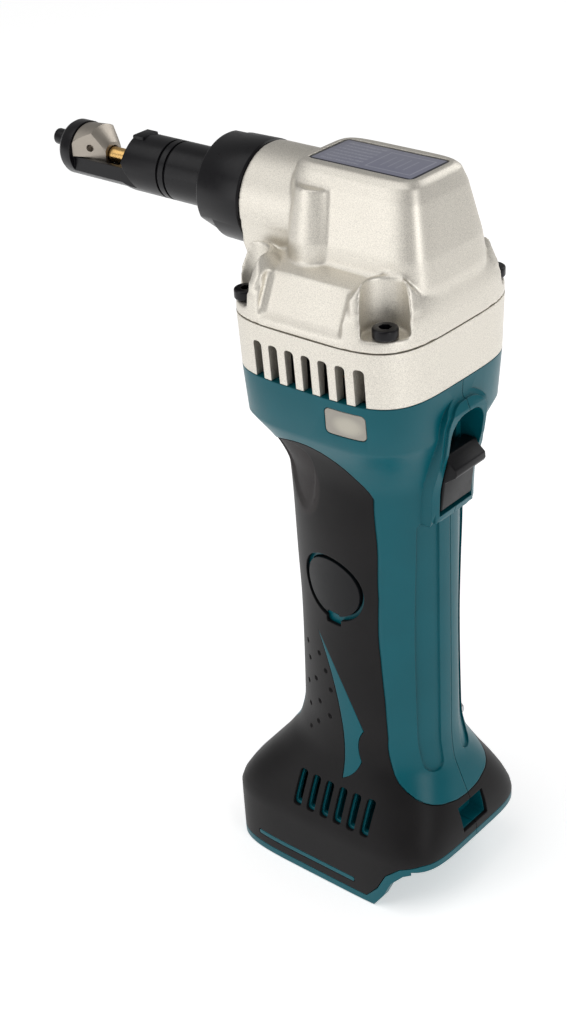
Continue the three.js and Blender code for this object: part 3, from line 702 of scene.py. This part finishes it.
def thumb_scoop(s):
    """A shallow oval pressed into the upper front of one flank."""
    deselect()
    deep, proud, grip_front, grip_side = 5.5, 3, 33, 28.5
    x, z = SCOOP_X, SCOOP_Z
    y = s * body_side(x, z)
    out = Vector((x / grip_front ** 2, y / grip_side ** 2, 0)).normalized()
    bpy.ops.mesh.primitive_uv_sphere_add(
        segments=64, ring_count=40, radius=1, location=Vector((x, y, z)) + out * proud,
        scale=(deep, 14, 20), rotation=(0, 0, math.atan2(out.y, out.x)),
    )
    return cut(settled(), tower(BODY, 0.95))


def skin():
    whole = keep(tower(BODY), skin_region(0))
    cut(whole, tower(BODY, SKIN), intake_slots(2), rod("Y", 14.4, ACROSS, (BRUSH_X, BRUSH_Z), around=96))
    cut(whole, bar("Y", (BRUSH_X - 3.6, BRUSH_X + 3.6), (BRUSH_Z - 16.6, BRUSH_Z - 10), ACROSS, 0.8, 3))
    cut(whole, block((34, 60), (-LATCH[0], LATCH[0]), LATCH[1:]), *screw_holes())
    cut(whole, thumb_scoop(-1), thumb_scoop(1))
    dimples = [(-20.3, 98.5), (-11.9, 97.8), (-18.9, 91.6), (-8.2, 91.5), (-14.6, 84.7), (-5.6, 84),
               (-20.5, 80), (-12.3, 75.4), (-19.4, 70), (-6.4, 71.5), (-13.4, 65.5), (-18, 61)]
    for x, z in dimples:
        for s in (-1, 1):
            place = (x, s * (body_side(x, z) + 0.2), z)
            deselect()
            bpy.ops.mesh.primitive_ico_sphere_add(subdivisions=3, radius=1.15, location=place)
            cut(whole, settled())
    return whole


for side, half in halves(skin()):
    placed(half, f"grip_skin_{side}", "body", rubber)

# ---- vent ring ----
ring = tower([(RING_BOTTOM + GAP, *RING_PLAN), (SEAM - GAP / 2, *SEAM_PLAN)])
cut(ring, tower([(RING_BOTTOM - 1, -36, 36, 35.6, 2.6), (SEAM + 1, -36, 36, 35.6, 2.6)]))
for x in rows_of(7, -20, 7.25):
    cut(ring, bar("Y", (x - 2, x + 2), (208, 232.5), ACROSS, 1.5, 5))
case_bores = [rod("Z", 2.4, (224, 250), place, around=32) for place in CASE_SCREWS]
for bore in case_bores:
    cut(ring, copied(bore))
placed(ring, "vent_ring", "body", casting)


# ---- gear case ----
def gear_case():
    skirt = tower(smooth([
        (SEAM + GAP / 2, *SEAM_PLAN), (247, -39, 39, 39.1, 4.1), (252, -38, 38.4, 37.2, 3.8),
        (256.5, -34, 37.6, 31.5, 3.2), (259, -28, 36.4, 24, 2.8),
    ], 1.5))
    dome = tower([
        (244, -24, 38.6, 24, 5), (257, -23, 38, 22.8, 5.5), (266, -22.6, 36.6, 21.9, 5.8),
        (284, -22, 32.6, 18.2, 6), (289, -20.8, 30.8, 16.4, 6), (TOP, -19, 29, 14.4, 6),
    ])
    corner_form = [
        (SEAM + GAP / 2, -39.2, 39.2, 39.4, 4.13), (252, -38.6, 38.4, 38.4, 4), (264, -35, 35, 34, 3.6),
    ]
    for x, y in CASE_SCREWS:
        cx, cy = x - math.copysign(2, x), y - math.copysign(2.4, y)
        mound = add(rod("Z", 11.6, (SEAM + 1, 256), (cx, cy)), rod("Z", 11.6, (255.9, 261.6), (cx, cy), 7))
        add(skirt, keep(mound, tower(corner_form)))
    add(skirt, dome, rod("Z", 11.6, (250, 266), COUNTER), rod("Z", 11.6, (265.9, 284), COUNTER, 8.4))
    add(skirt, rod("X", 19, (-42.6, 0), (0, NOSE_Z), around=96), rod("X", *SLEEVE, (0, NOSE_Z), around=96))
    add(skirt, prism("Y", [(-42.2, 268), (-42, 257), (-37, 245), (0, 245), (0, 268)], (-18.4, 18.4)))
    for x, y in CASE_SCREWS:
        cut(skirt, rod("Z", 8.2, (POCKET_FLOOR, 280), (x, y)))
    for s in (-1, 1):
        for reach, lift in (((-17, 16), 0), ((-18.6, 17.6), 0.8)):
            slope = [
                (s * 50, 243 - lift), (s * (37.6 + lift), 243 - lift), (s * (36.9 + lift), 244),
                (s * (31 + lift), 256.4), (s * 50, 262),
            ]
            cut(skirt, prism("X", slope, reach))
    shaped(skirt, "REMESH", mode="VOXEL", voxel_size=0.62)
    shaped(skirt, "SMOOTH", factor=0.5, iterations=5)
    keep(skirt, block((-42.6, 60), ACROSS, (SEAM + GAP / 2, TOP)))
    cut(skirt, rod("Z", 31.5, (230, 249.3), around=96))
    chamber = [(249, -16, 32.4, 18.6, 5), (266, -16, 31.2, 17.8, 5), (286, -16, 26.6, 14, 5)]
    cut(skirt, tower(chamber, around=96))
    cut(skirt, rod("Z", 8, (248, 257.2), COUNTER))
    add(skirt, rod("X", *SLEEVE, (0, NOSE_Z), around=96))
    cut(skirt, rod("X", SLEEVE_BORE, (-60, -10), (0, NOSE_Z), around=96))
    add(skirt, rod("Z", 8, (257.2, 261.5), COUNTER))
    add(skirt, cut(rod("Z", 10.6, (279.6, 287), (CRANK_X, 0)), rod("Z", 8.3, (270, 290), (CRANK_X, 0))))
    cut(skirt, rod("Z", 5.8, (250, 261.3), COUNTER), *case_bores)
    return cut(skirt, bar("Z", (-17, 27), (-11.4, 11.4), (TOP - 0.9, TOP + 2), 2.4))


placed(gear_case(), "gear_case", "body", casting, 40)
name_plate = eased(bar("Z", (-16.6, 26.6), (-11, 11), (TOP - 0.6, TOP - 0.15), 2), 0.12)
placed(name_plate, "name_plate", "body", label)

for i, (x, y) in enumerate(CASE_SCREWS):
    screw = add(
        eased(rod("Z", 4.5, (POCKET_FLOOR + GAP, POCKET_FLOOR + 4), (x, y)), 0.7, 4),
        rod("Z", 1.9, (225, POCKET_FLOOR + 1), (x, y)),
    )
    cut(screw, rod("Z", 2.3, (POCKET_FLOOR + 2, POCKET_FLOOR + 6), (x, y), around=6))
    placed(screw, f"case_screw_{i + 1}", "body", black_steel)

# ---- lenses and brush covers ----
lens = keep(bar("Y", LENS_X, LENS_Z, ACROSS, 1.8, 8), tower(BODY, 0.15))
for side, half in halves(cut(lens, tower(BODY, 2.3))):
    placed(half, f"indicator_lens_{side}", "body", lens_plastic)

cover = keep(rod("Y", 12.5, ACROSS, (BRUSH_X, BRUSH_Z), around=96), tower(BODY, 0.2))
cut(cover, block((-20, 20), (-21.8, 21.8), (110, 160)))
cut(cover, block((BRUSH_X - 2.8, BRUSH_X + 2.8), ACROSS, (BRUSH_Z - 14, BRUSH_Z - 11.2)))
for side, half in halves(cover):
    placed(half, f"brush_cover_{side}", "body", black_plastic)

# ---- nose ----
HOLDER_R = 11
TIP_R = 10.4  # radius of the holder round the die
BOLT_Z = NOSE_Z + 2
WALL_TOP = 268.4  # top of the holder's low walls beside the die
TROUGH = 6.4  # half width of the trough that the die's foot sits in
profile = [(-36, 0), (-36, HOLDER_R), (-54.4, HOLDER_R), (-54.4, 15.2), (-54.6, 15.4), (-57.6, 15.4),
           (-57.6, HOLDER_R)]
for groove in (-85.6, -89.1):
    profile += [(groove + 0.55, HOLDER_R), (groove + 0.45, 10.3), (groove - 0.45, 10.3),
                (groove - 0.55, HOLDER_R)]
profile += [(-106, HOLDER_R), (-108, 10.8), (-110, TIP_R), (-139.6, TIP_R), (-140.8, 9.8), (-141.5, 8.8),
            (-141.5, 0)]
holder = add(turned(profile), eased(block((-107.8, -101), (-4.2, 4.2), (276, 280.6)), 0.5))
mouth = rod("Y", 20, (-20, 20), (-126.1, 279), around=128)
add(mouth, block((-135, -113), (-20, 20), (WALL_TOP, 300)))
keep(mouth, block((-135, -90), (-30, 30), (WALL_TOP, 300)))
cut(holder, mouth, block((-135, -113), (-TROUGH, TROUGH), (263.2, 270)))
relief = [(-135, 250), (-102, 250), (-102, 261.5), (-103.2, 264.6), (-108.8, 273.6), (-110.4, 277),
          (-110.4, 290), (-135, 290)]
for reach in ((8.2, 20), (-20, -8.2)):
    cut(holder, prism("Y", relief, reach))
cut(holder, rod("X", 5.4, (-114, -20), (0, NOSE_Z)), rod("X", BOLT_BORE, (-150, -130), (0, BOLT_Z), around=32))
placed(holder, "die_holder", "die_holder", black_steel)

die = turned([(-134.7, 0), (-134.7, 9.7), (-134.4, 10), (-126.6, 10.6), (-121.6, 4.6), (-121.6, 0)])
foot = block((-140, -120), (GAP - TROUGH, TROUGH - GAP), (263.5, 300))
keep(die, add(block((-140, -120), (-20, 20), (WALL_TOP + GAP, 300)), foot))
for s in (-1, 1):
    cut(die, prism("Z", [(-136, s * 9.4), (-120, s * 3.6), (-120, s * 20), (-136, s * 20)], (250, 290)))
cut(die, rod("X", 3.4, (-126, -120), (0, NOSE_Z), around=48))
cut(die, rod("X", BOLT_BORE, (-140, -129.4), (0, BOLT_Z), around=32))
cut(die, rod("Y", 1.4, (-12, -4.5), (-127.6, NOSE_Z + 3), around=24))
placed(die, "die", "die_holder", die_steel)

bolt = add(
    eased(rod("X", 3.1, (-151, -141.8), (0, BOLT_Z), around=48), 0.6, 3),
    rod("X", BOLT_R, (-142, -130), (0, BOLT_Z), around=32),
)
placed(bolt, "die_bolt", "die_holder", black_steel)

punch = turned([(-17.4, 0), (-17.4, 5), (-107, 5), (-110, 3), (-122.3, 3), (-122.6, 2.7), (-122.6, 0)], 64)
placed(punch, "punch", "punch", gold)

nut = turned([(-42.9, 16), (-42.9, 18.6), (-43.5, 19.2), (-44.5, 19.25), (-61.8, 18.9), (-62.6, 18.5),
              (-63.1, 17.6), (-63.1, 11.5), (-57.9, 11.5), (-57.9, 16), (-42.9, 16)])
for turn in (-0.7, math.pi - 0.7):
    flat = block((-64.4, -56.4), (-20, 20), (-26.6, -16.6))
    flat.matrix_world = Matrix.Translation((0, 0, NOSE_Z)) @ Matrix.Rotation(turn, 4, "X")
    only(flat)
    cut(nut, settled())
placed(nut, "lock_nut", "lock_nut", black_steel)

# ---- slide switch lever ----
LEVER = [(31.6, 169), (35.6, 169), (36.2, 169.8), (37.6, 181), (42, 184.2), (42.6, 185.2), (42.4, 187.6),
         (39.4, 190), (38.4, 192), (33.4, 192), (31.6, 190)]
lever = eased(prism("Y", LEVER, (-9.1, 9.1)), 0.5, 3)
for z in rows_of(3, 185, 1.7):
    cut(lever, rod("Y", 0.35, (-8.2, 8.2), (42.9, z), around=16))
placed(lever, "switch_lever", "switch_lever", black_plastic)


# ---- floor, light and camera ----
def studio():
    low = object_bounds()[0]
    deselect()
    bpy.ops.mesh.primitive_plane_add(size=6, location=(0, 0, low.z - 0.0005))
    floor = bpy.context.active_object
    floor.name = "floor"
    paint = bpy.data.materials.new("pale_floor")
    paint.use_nodes = True
    for key, value in (("Base Color", (0.92, 0.92, 0.92, 1)), ("Roughness", 0.9),
                       ("Emission Color", (1, 1, 1, 1)), ("Emission Strength", 0.45)):
        paint.node_tree.nodes["Principled BSDF"].inputs[key].default_value = value
    floor.data.materials.append(paint)
    world = bpy.data.worlds.new("studio")
    world.use_nodes = True
    world.node_tree.nodes["Background"].inputs["Color"].default_value = (1, 1, 1, 1)
    world.node_tree.nodes["Background"].inputs["Strength"].default_value = 0.3
    bpy.context.scene.world = world
    bpy.context.scene.view_settings.view_transform = "Standard"
    lamps = []
    for name, kind, place, size, power in (
        ("sky", "SUN", (-0.6, -0.7, 1.6), math.radians(60), 0.9), ("key", "AREA", (-0.6, -1.1, 0.45), 0.7, 3),
        ("fill", "AREA", (1.1, -0.3, 0.5), 0.5, 3), ("back", "AREA", (0.3, 0.9, 0.8), 0.7, 3),
    ):
        light = bpy.data.lights.new(name, kind)
        light.energy = power
        if kind == "SUN":
            light.angle = size
        else:
            light.size = size
        lamp = bpy.data.objects.new(name, light)
        lamp.location = place
        lamp.rotation_euler = (Vector((0, 0, 0.15)) - lamp.location).to_track_quat("-Z", "Y").to_euler()
        bpy.context.collection.objects.link(lamp)
        lamps.append(lamp)
    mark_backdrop(floor, *lamps)


def camera():
    azimuth, elevation, roll = (math.radians(v) for v in (41.5251, 29.7707, -3.2996))
    level = math.cos(elevation)
    back = Vector((math.sin(azimuth) * level, -math.cos(azimuth) * level, math.sin(elevation)))
    right = Vector((math.cos(azimuth), math.sin(azimuth), 0))
    up = back.cross(right)
    across = right * math.cos(roll) + up * math.sin(roll)
    upward = up * math.cos(roll) - right * math.sin(roll)
    lens = bpy.data.cameras.new("camera")
    lens.lens, lens.sensor_width = 65.17, 36
    view = bpy.data.objects.new("camera", lens)
    stand = Matrix.Translation((0.42227, -0.46933, 0.49672))
    view.matrix_world = stand @ Matrix((across, upward, back)).transposed().to_4x4()
    bpy.context.collection.objects.link(view)
    bpy.context.scene.camera = view


studio()
camera()
